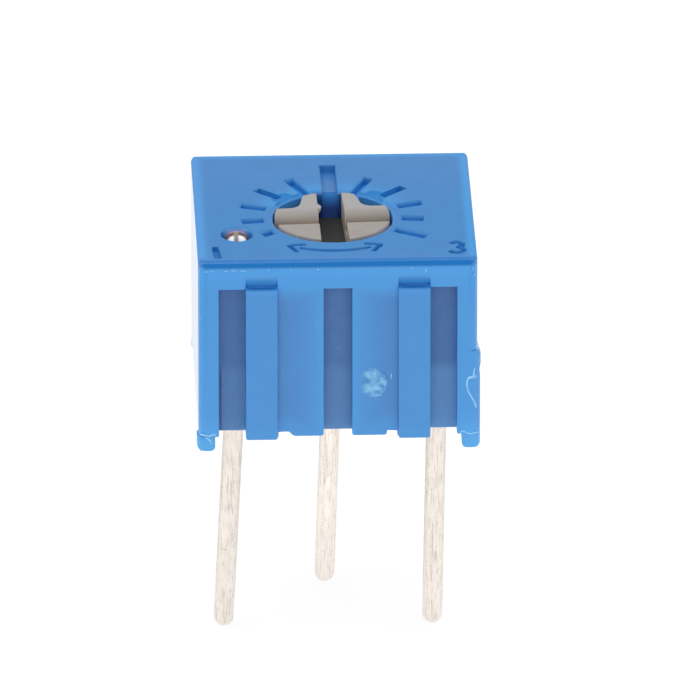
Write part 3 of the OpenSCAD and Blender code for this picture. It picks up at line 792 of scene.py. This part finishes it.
# how far edges are rounded, in mm, and what counts as an edge to round
WIDEST_ROUNDING = 0.09
HOLE_ROUNDING = 0.055
RIM_ROUNDING = 0.036
PLAIN_ROUNDING = 0.022
ROTOR_ROUNDING = 0.025
SHORTEST_ROUNDED = 0.035 * MM
SHARP = math.radians(28)


def tight_corners(sharp):
    """The ends of sharp edges too short to be rounded; edges that meet them are left alone."""
    corners = set()
    for edge in sharp:
        if edge.calc_length() > SHORTEST_ROUNDED:
            continue
        for vertex in edge.verts:
            run = edge.other_vert(vertex).co - vertex.co
            turns = [run.angle(vertex.co - other.other_vert(vertex).co)
                     for other in vertex.link_edges if other in sharp and other is not edge]
            if turns and min(turns) > math.radians(35):
                corners.update(edge.verts)
    return corners


def soften(part, width_at):
    """Rounds the outward edges by the width, in mm, that width_at gives for each."""
    form = bmesh.new()
    form.from_mesh(part.data)
    weights = form.edges.layers.float.new("bevel_weight_edge")
    sharp = {edge for edge in form.edges
             if len(edge.link_faces) == 2 and edge.is_convex and edge.calc_face_angle(0) > SHARP}
    kept = tight_corners({edge for edge in sharp if width_at(edge) > 0})
    for edge in sharp:
        if not kept.intersection(edge.verts):
            edge[weights] = width_at(edge) / WIDEST_ROUNDING
    form.to_mesh(part.data)
    form.free()
    bevel = part.modifiers.new("soft_edges", "BEVEL")
    bevel.width = WIDEST_ROUNDING * MM
    bevel.segments = 3
    bevel.limit_method = "WEIGHT"
    bevel.use_clamp_overlap = False
    apply_modifiers(part)


def shade_evenly(part):
    """Smooth shading over the rounded edges, with the flat faces kept flat."""
    for face in part.data.polygons:
        face.use_smooth = True
    part.data.set_sharp_from_angle(angle=math.radians(32))
    even = part.modifiers.new("even_faces", "WEIGHTED_NORMAL")
    even.mode = "FACE_AREA"
    even.weight = 50
    even.keep_sharp = True
    apply_modifiers(part)


def on_top(u, v, h):
    """A place on the top face: right, back and up from the body's middle, in mm."""
    return Vector((u * MM, middle_y + v * MM, top_z + h * MM))


def on_front(u, v, h):
    """A place on the front face: right, height over the board and outward, in mm."""
    return Vector((u * MM, front_y - h * MM, v * MM))


def turned(x, y, angle):
    return x * math.cos(angle) - y * math.sin(angle), x * math.sin(angle) + y * math.cos(angle)


def sweep_stroke(name, place, path, widths, levels):
    """A closed bar along a path on a face, with its own width at each point.

    Each level gives a height over the face, the share of the width it has there
    and what is added to the width on each side.
    """
    form = bmesh.new()
    rings = []
    last = len(path) - 1
    outline = [(height, -share, -extra) for height, share, extra in levels]
    outline += [(height, share, extra) for height, share, extra in reversed(levels)]
    for i, point in enumerate(path):
        here = Vector(point)
        before = (here - Vector(path[max(i - 1, 0)])).normalized()
        after = (Vector(path[min(i + 1, last)]) - here).normalized()
        along = (before + after).normalized()
        side = Vector((-along.y, along.x))
        mitre = 1 / max(0.5, along.dot(after if i < last else before))
        ring = []
        for height, share, extra in outline:
            flat = here + side * (widths[i] / 2 * share + extra) * mitre
            ring.append(form.verts.new(place(flat.x, flat.y, height)))
        rings.append(ring)
    skin(form, rings)
    return piece_from(form, name)


def carve(part, cutter):
    cut = part.modifiers.new("carve", "BOOLEAN")
    cut.operation = "DIFFERENCE"
    cut.solver = "EXACT"
    cut.object = cutter
    apply_modifiers(part)
    bpy.data.objects.remove(cutter)


def arc(centre, radius, start, stop, steps):
    """Points on an arc; angles in degrees, counted from the right and turning left."""
    points = []
    for i in range(steps + 1):
        angle = math.radians(start + (stop - start) * i / steps)
        points.append((centre[0] + radius * math.cos(angle), centre[1] + radius * math.sin(angle)))
    return points


def round_ended(path, width):
    """Lengthens a path by a tapered tip at each end; returns the path and its widths."""
    first = Vector(path[0])
    out = (first - Vector(path[1])).normalized() * width * 0.3
    last = Vector(path[-1])
    back = (last - Vector(path[-2])).normalized() * width * 0.3
    long_path = [tuple(first + out)] + list(path) + [tuple(last + back)]
    return long_path, [width * 0.55] + [width] * len(path) + [width * 0.55]


SIGN_DEPTH = 0.11


def engrave(part, path, width):
    """Sinks a stroke in the top face, with sloping walls and a softened rim."""
    path, widths = round_ended(path, width)
    levels = [(-SIGN_DEPTH, 1.0, -0.03), (-0.03, 1.0, -0.006), (-0.010, 1.0, 0.004), (0.01, 1.0, 0.024)]
    carve(part, sweep_stroke("cutter", on_top, path, widths, levels))


# ---------------------------------------------------------------- the housing

DIGIT_WIDTH = 0.16
ARROW_WIDTH = 0.13
ARROW_RADIUS = 2.10
ARROW_HALF_SPAN = 24
BARB_HALF = 0.24

housing = copy_part("housing", "dressed_housing")

# terminal numbers, sunk in the top face beside their pins
engrave(housing, [(-2.985, -2.98), (-3.04, -2.36)], DIGIT_WIDTH * 1.1)
engrave(housing, arc((2.99, -2.36), 0.15, 150, -75, 7), DIGIT_WIDTH)
engrave(housing, arc((2.99, -2.68), 0.17, 75, -150, 7), DIGIT_WIDTH)

# the turning arrow in front of the rotor, with a head at both ends
turn_centre = (axis_x / MM, (axis_y - middle_y) / MM)
shaft = arc(turn_centre, ARROW_RADIUS, 270 - ARROW_HALF_SPAN, 270 + ARROW_HALF_SPAN, 10)
engrave(housing, shaft, ARROW_WIDTH)
for side in (-1, 1):
    tip = arc(turn_centre, ARROW_RADIUS, 270 + side * 33, 270 + side * 34, 1)[0]
    for barb_radius in (ARROW_RADIUS - BARB_HALF, ARROW_RADIUS + BARB_HALF):
        barb = arc(turn_centre, barb_radius, 270 + side * ARROW_HALF_SPAN, 270, 1)[0]
        engrave(housing, [barb, tip], ARROW_WIDTH)


def make_lip_cutter():
    """Rounds the lip where the middle mark runs out into the rotor's hole."""
    left, right = -0.247 * MM, 0.137 * MM
    section = [(-0.12, 4.45), (-0.12, 5.01), (0.36, 5.01), (0.32, 4.981), (0.25, 4.93), (0.14, 4.80),
               (0.03, 4.62), (-0.06, 4.45)]
    form = bmesh.new()
    skin(form, [[form.verts.new((x, y * MM, z * MM)) for y, z in section] for x in (left, right)])
    return piece_from(form, "cutter")


# where the inner marks run out over the hole's rim: angle, half of the span, outer radius
DISHES = [(137, 13, 1.92), (47, 13, 1.92)]
DISH_INNER = 1.42
DISH_DEPTH = 0.11


def make_dish_cutter(angle, half_span, reach):
    """Dishes the top face down towards the rim of the rotor's hole."""
    steps = 12
    form = bmesh.new()
    low, high = [], []
    for i in range(steps + 1):
        radius = DISH_INNER + (reach - DISH_INNER) * i / steps
        low_row, high_row = [], []
        for k in range(steps + 1):
            off = 2 * k / steps - 1
            turn = math.radians(angle + half_span * off)
            x, y = axis_x + radius * MM * math.cos(turn), axis_y + radius * MM * math.sin(turn)
            fall = math.cos(math.pi / 2 * off) ** 2 * (1 - i / steps)
            low_row.append(form.verts.new((x, y, top_z + (0.006 - DISH_DEPTH * fall) * MM)))
            high_row.append(form.verts.new((x, y, top_z + 0.06 * MM)))
        low.append(low_row)
        high.append(high_row)
    for i in range(steps):
        for k in range(steps):
            for rows in (low, high):
                form.faces.new((rows[i][k], rows[i][k + 1], rows[i + 1][k + 1], rows[i + 1][k]))
        for k in (0, steps):
            form.faces.new((low[i][k], low[i + 1][k], high[i + 1][k], high[i][k]))
    for i in (0, steps):
        for k in range(steps):
            form.faces.new((low[i][k], low[i][k + 1], high[i][k + 1], high[i][k]))
    return piece_from(form, "cutter")


def off_axis(place):
    """How far a place is from the rotor's axis."""
    return math.hypot(place.x - axis_x, place.y - axis_y)


def in_a_dish(place, margin=0.0):
    """Whether a place near the top lies in one of the two dishes, or within so many degrees of one."""
    away = off_axis(place)
    turn = math.degrees(math.atan2(place.y - axis_y, place.x - axis_x))
    return any(abs(turn - angle) < half_span + margin and away < reach * MM
               for angle, half_span, reach in DISHES)


carve(housing, make_lip_cutter())
for dish in DISHES:
    carve(housing, make_dish_cutter(*dish))


def is_engraved(place):
    """Whether a place on the top face lies within the figures or the turning arrow."""
    if place.z < top_z - 0.15 * MM:
        return False
    if 1.75 * MM < off_axis(place) < 2.5 * MM and place.y < axis_y - 1.4 * MM:
        return True
    return 2.6 * MM < abs(place.x) < 3.34 * MM and place.y < middle_y - 2.1 * MM


def housing_rounding(edge):
    """How round an edge of the moulding is, in mm: the ribs' and panels' lower corners most."""
    one, two = (vertex.co for vertex in edge.verts)
    if is_engraved(one) and is_engraved(two):
        return 0
    if any(in_a_dish(place, margin=4) and place.z > top_z - 0.3 * MM for place in (one, two)):
        return 0
    if one.z + two.z < 0.8 * MM and abs(one.z - two.z) > 0.03 * MM and (one - two).length < 0.05 * MM:
        return 0
    level = abs(one.z - two.z) < 0.1 * MM
    if level and max(one.z, two.z) < 0.45 * MM and min(one.y, two.y) < front_y + 0.02 * MM:
        corner = abs(one.x - two.x) < 0.001 * MM and 0.3 * MM < abs(one.x) < 2.4 * MM
        return WIDEST_ROUNDING if corner else RIM_ROUNDING
    middle = (one + two) / 2
    if level and middle.z > top_z - 0.02 * MM and 1.0 * MM < off_axis(middle) < 2.9 * MM:
        return HOLE_ROUNDING
    return PLAIN_ROUNDING


soften(housing, housing_rounding)
shade_evenly(housing)

BLUE, DULL, POLISHED, DEEP = set_materials(housing, blue, dull_blue, side_blue, deep_blue)
groove_floor = front_y + GROOVE_DEPTH


def in_a_hollow(place, normal):
    """Whether a face is a wall of the rotor's hole, the lip, a sign or a dish, or the right swell's slope."""
    at_the_lip = abs(place.x - axis_x) < LIP_HALF and abs(place.y - LIP_Y) < LIP_HALF
    if at_the_lip and abs(normal.z) < 0.9:
        return place.z > 4.3 * MM
    if is_engraved(place) and place.z < top_z - 0.05 * MM:
        return True
    if in_a_dish(place) and place.z > top_z - 0.14 * MM and 0.5 < normal.z < 0.9995:
        return True
    in_the_hole = off_axis(place) < HOLE_RADIUS + 0.11 * MM and place.z < top_z - 0.03 * MM
    if in_the_hole and abs(normal.z) < 0.5:
        return True
    return place.x > HALF_WIDTH - 0.02 * MM and normal.z > 0.3 and 2.2 * MM < place.z < 2.8 * MM


for face in housing.data.polygons:
    middle, normal = face.center, face.normal
    if normal.y < -0.9 and abs(middle.y - groove_floor) < 0.01 * MM and middle.z > 0:
        face.material_index = DULL
    elif abs(normal.x) > 0.75 and abs(middle.x) > HALF_WIDTH - 0.1 * MM:
        face.material_index = POLISHED
    elif in_a_hollow(middle, normal):
        face.material_index = DEEP
    else:
        face.material_index = BLUE
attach(housing, "case")
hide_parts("housing")


def ride_case(piece, material):
    piece.data.materials.clear()
    piece.data.materials.append(material)
    for face in piece.data.polygons:
        face.use_smooth = True
    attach(piece, "case")


SCAR_PLACE = (0.89, 1.80)
SCAR_RADII = (0.37, 0.47)
SCAR_RISE = 0.022


def make_gate_scar():
    """The torn stub of the moulding gate: a low, rough blister on the right panel."""
    rings, spokes = 14, 44
    form = bmesh.new()
    grid = []
    for i in range(1, rings + 1):
        share = i / rings
        row = []
        for k in range(spokes):
            angle = 2 * math.pi * k / spokes
            round_x, round_y = math.cos(angle), math.sin(angle)
            wobble = 1 + 0.22 * noise.noise(Vector((round_x * 1.6, round_y * 1.6, 9.1)))
            u = SCAR_PLACE[0] + SCAR_RADII[0] * share * wobble * round_x
            v = SCAR_PLACE[1] + SCAR_RADII[1] * share * wobble * round_y
            rough = noise.fractal(Vector((u * 8, v * 8, 3.7)), 0.8, 2.2, 4)
            height = SCAR_RISE * min(1.0, max(0.03, 0.35 + 0.9 * rough)) * (1 - share ** 4)
            row.append(form.verts.new(on_front(u, v, -0.004 if i == rings else height)))
        grid.append(row)
    crown = form.verts.new(on_front(*SCAR_PLACE, SCAR_RISE * 0.4))
    root = form.verts.new(on_front(*SCAR_PLACE, -0.03))
    base = [form.verts.new(v.co + Vector((0, 0.026 * MM, 0))) for v in grid[-1]]
    for k in range(spokes):
        n = (k + 1) % spokes
        form.faces.new((crown, grid[0][k], grid[0][n]))
        for one, two in zip(grid, grid[1:]):
            form.faces.new((one[k], two[k], two[n], one[n]))
        form.faces.new((grid[-1][k], base[k], base[n], grid[-1][n]))
        form.faces.new((base[k], root, base[n]))
    ride_case(piece_from(form, "gate_scar"), finish_scar())


# painted highlights on the scar, as paler spots: place on the front face and size
SCAR_HIGHLIGHTS = [(0.78, 1.62, 0.13), (0.90, 2.04, 0.12), (0.99, 1.68, 0.09), (1.12, 1.86, 0.09),
              (0.99, 1.47, 0.11), (0.74, 2.04, 0.08)]


def finish_scar():
    """Torn plastic: the panel's blue with its painted glow at the rim, teal inside it, and painted highlights as
    paler spots.
    """
    material, net, shader = new_material("gate_scar_plastic", gloss=0.7)
    grain = use(net, "grain", Grain_size=0.10 * MM, Cloud_size=0.17 * MM)
    x, _, z = object_axes(net)

    def out_from(centre_x, centre_z, wide, tall):
        """0 at a spot's middle and 1 on its rim."""
        return net.length(net.over(net.minus(x, centre_x * MM), wide * MM),
                          net.over(net.minus(z, centre_z * MM), tall * MM))

    ragged = net.plus(out_from(*SCAR_PLACE, *SCAR_RADII), net.span(grain["Grain"], 0.2, 0.8, -0.3, 0.3))
    inside = net.fade(ragged, 0.45, 0.98, smooth=True)
    ring = net.span(net.absolute(net.minus(ragged, 0.82)), 0.04, 0.16, 0.5, 0.0)
    torn = net.mix(net.span(grain["Clouds"], 0.2, 0.8), rgb(48, 130, 186), rgb(102, 174, 222))
    tone = net.mix(use(net, "front relief")["Pale"], rgb(39, 121, 191), rgb(*GLOW_BLUE))
    tone = net.tint(tone, (ring, 1.0, (104, 146, 214)))
    tone = net.mix(inside, tone, torn)
    rough = net.span(grain["Grain"], 0.25, 0.75, -0.9, 0.9)
    # painted highlights on the blister
    for spot_x, spot_z, size in SCAR_HIGHLIGHTS:
        spot = net.plus(out_from(spot_x, spot_z, size, size), rough)
        tone = net.mix(net.span(spot, 0.0, 1.4, 0.6, 0.0, smooth=True), tone, rgb(136, 202, 238))
    lay_grain(net, shader, tone, grain["Grain"], (0.34, 0.5), 0.010)
    shader.inputs["IOR"].default_value = 1.5
    return material


make_gate_scar()

# whitened cracks and torn edges on the front face: places, and the width at each
CRACK_LEVELS = [(-0.02, 1.0, 0), (0.010, 0.45, 0)]
CRACKS = {
    "edge_crack": [(3.47, 1.965, 0.07), (3.40, 1.95, 0.10), (3.28, 1.935, 0.10), (3.235, 1.86, 0.07),
                   (3.225, 1.72, 0.08), (3.26, 1.56, 0.06), (3.33, 1.42, 0.075), (3.39, 1.30, 0.055),
                   (3.44, 1.18, 0.07), (3.46, 1.10, 0.04)],
    "edge_tear": [(3.42, 2.20, 0.04), (3.40, 2.08, 0.06), (3.39, 1.97, 0.10)],
    "left_foot_line": [(-3.465, 0.47, 0.05), (-3.36, 0.45, 0.05), (-3.24, 0.42, 0.07), (-3.14, 0.46, 0.05),
                       (-3.05, 0.45, 0.07)],
    "left_foot_scratch": [(-3.33, 0.40, 0.04), (-3.22, 0.31, 0.07), (-3.15, 0.20, 0.04)],
    "right_foot_line": [(3.06, 0.44, 0.05), (3.15, 0.46, 0.06), (3.24, 0.40, 0.05), (3.33, 0.385, 0.06),
                        (3.43, 0.41, 0.05), (3.50, 0.43, 0.05)],
    "scar_line": [(1.33, 2.10, 0.02), (1.335, 2.02, 0.05), (1.33, 1.92, 0.02)],
}
for name, stroke in CRACKS.items():
    path = [(u, v) for u, v, _ in stroke]
    widths = [width for _, _, width in stroke]
    ride_case(sweep_stroke(name, on_front, path, widths, CRACK_LEVELS), crack_plastic)

# a fleck above this height lies where the top edge is rounded away, and is sunk deeper
ROUNDING_START = 4.985
# flecks of flash along the top front edge and a few strays: place, length, height, turn
FLECKS = [
    (-3.30, 4.94, 0.16, 0.030, 4), (-3.15, 4.96, 0.12, 0.026, -6), (-2.80, 4.95, 0.10, 0.028, 0),
    (-2.60, 4.96, 0.17, 0.026, 3), (-2.36, 4.95, 0.20, 0.022, -2), (-1.74, 4.96, 0.07, 0.024, 0),
    (-1.18, 4.96, 0.05, 0.022, 0), (-0.50, 4.96, 0.055, 0.045, 0), (0.90, 4.99, 0.18, 0.020, 2),
    (1.84, 4.96, 0.10, 0.028, 35), (1.96, 5.02, 0.12, 0.024, 40), (2.20, 4.90, 0.045, 0.075, 0),
    (3.37, 4.92, 0.035, 0.060, 12), (3.40, 4.76, 0.030, 0.055, -10), (-0.53, 3.44, 0.042, 0.042, 0),
    (-3.42, 3.66, 0.035, 0.030, 0), (-2.00, 3.32, 0.030, 0.025, 0), (-1.72, 0.88, 0.045, 0.040, 20),
    (2.30, 2.05, 0.030, 0.090, 0), (0.62, 4.30, 0.030, 0.028, 0), (1.10, 3.90, 0.028, 0.026, 0),
]


def make_flecks():
    """Each fleck is a flat eight-sided bump, sunk a little in the face."""
    form = bmesh.new()
    sides = 8
    for u, v, length, tall, turn in FLECKS:
        lift = -0.02 if v > ROUNDING_START else 0.0
        tilt = math.radians(turn)
        rows = []
        for share, height in ((1.0, -0.012), (0.85, 0.006), (0.45, 0.012)):
            row = []
            for k in range(sides):
                angle = 2 * math.pi * k / sides
                across, up = length / 2 * share * math.cos(angle), tall / 2 * share * math.sin(angle)
                across, up = turned(across, up, tilt)
                row.append(form.verts.new(on_front(u + across, v + up, height + lift)))
            rows.append(row)
        skin(form, rows)
    ride_case(piece_from(form, "moulding_flecks"), fleck_plastic)


make_flecks()

# ---------------------------------------------------------------- the rotor

rotor = copy_part("rotor", "dressed_rotor")
soften(rotor, lambda edge: ROTOR_ROUNDING)
shade_evenly(rotor)
GREIGE, DARK = set_materials(rotor, greige, dark_slot)
# the slot's floor gets the near-black finish: partly grime, partly painted shade
for face in rotor.data.polygons:
    low = abs(face.center.z - (top_z - SLOT_DEPTH)) < 0.02 * MM and face.normal.z > 0.7
    face.material_index = DARK if low else GREIGE

# the burr on the slot's left edge: its middle and half length along the slot, and its reach into it
BURR_Y = 0.62
BURR_HALF = 0.16
BURR_REACH = 0.085
BURR_STEPS = 9


def make_slot_burr():
    """A tongue of plastic that stands from the slot's left edge into the slot."""
    left = -SLOT_HALF / MM
    form = bmesh.new()
    rows = []
    for depth, share in ((0.0, 0.72), (0.018, 1.0), (0.10, 0.9), (0.17, 0.35)):
        row = []
        for k in range(BURR_STEPS + 1):
            along = -1 + 2 * k / BURR_STEPS
            out = BURR_REACH * share * max(0.0, 1 - abs(along) ** 2.4)
            row.append((left - 0.02 + out + 0.02 * share, BURR_Y + along * BURR_HALF))
        row += [(left - 0.05, BURR_Y + BURR_HALF), (left - 0.05, BURR_Y - BURR_HALF)]
        level = top_z - (depth + 0.002) * MM
        row = [turned(x, y, REST_TURN) for x, y in row]
        rows.append([form.verts.new((axis_x + x * MM, axis_y + y * MM, level)) for x, y in row])
    skin(form, rows)
    burr = piece_from(form, "slot_burr")
    burr.data.materials.append(greige)
    for face in burr.data.polygons:
        face.use_smooth = True
    burr.data.set_sharp_from_angle(angle=math.radians(40))
    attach(burr, "adjuster")


make_slot_burr()

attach(rotor, "adjuster")
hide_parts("rotor")
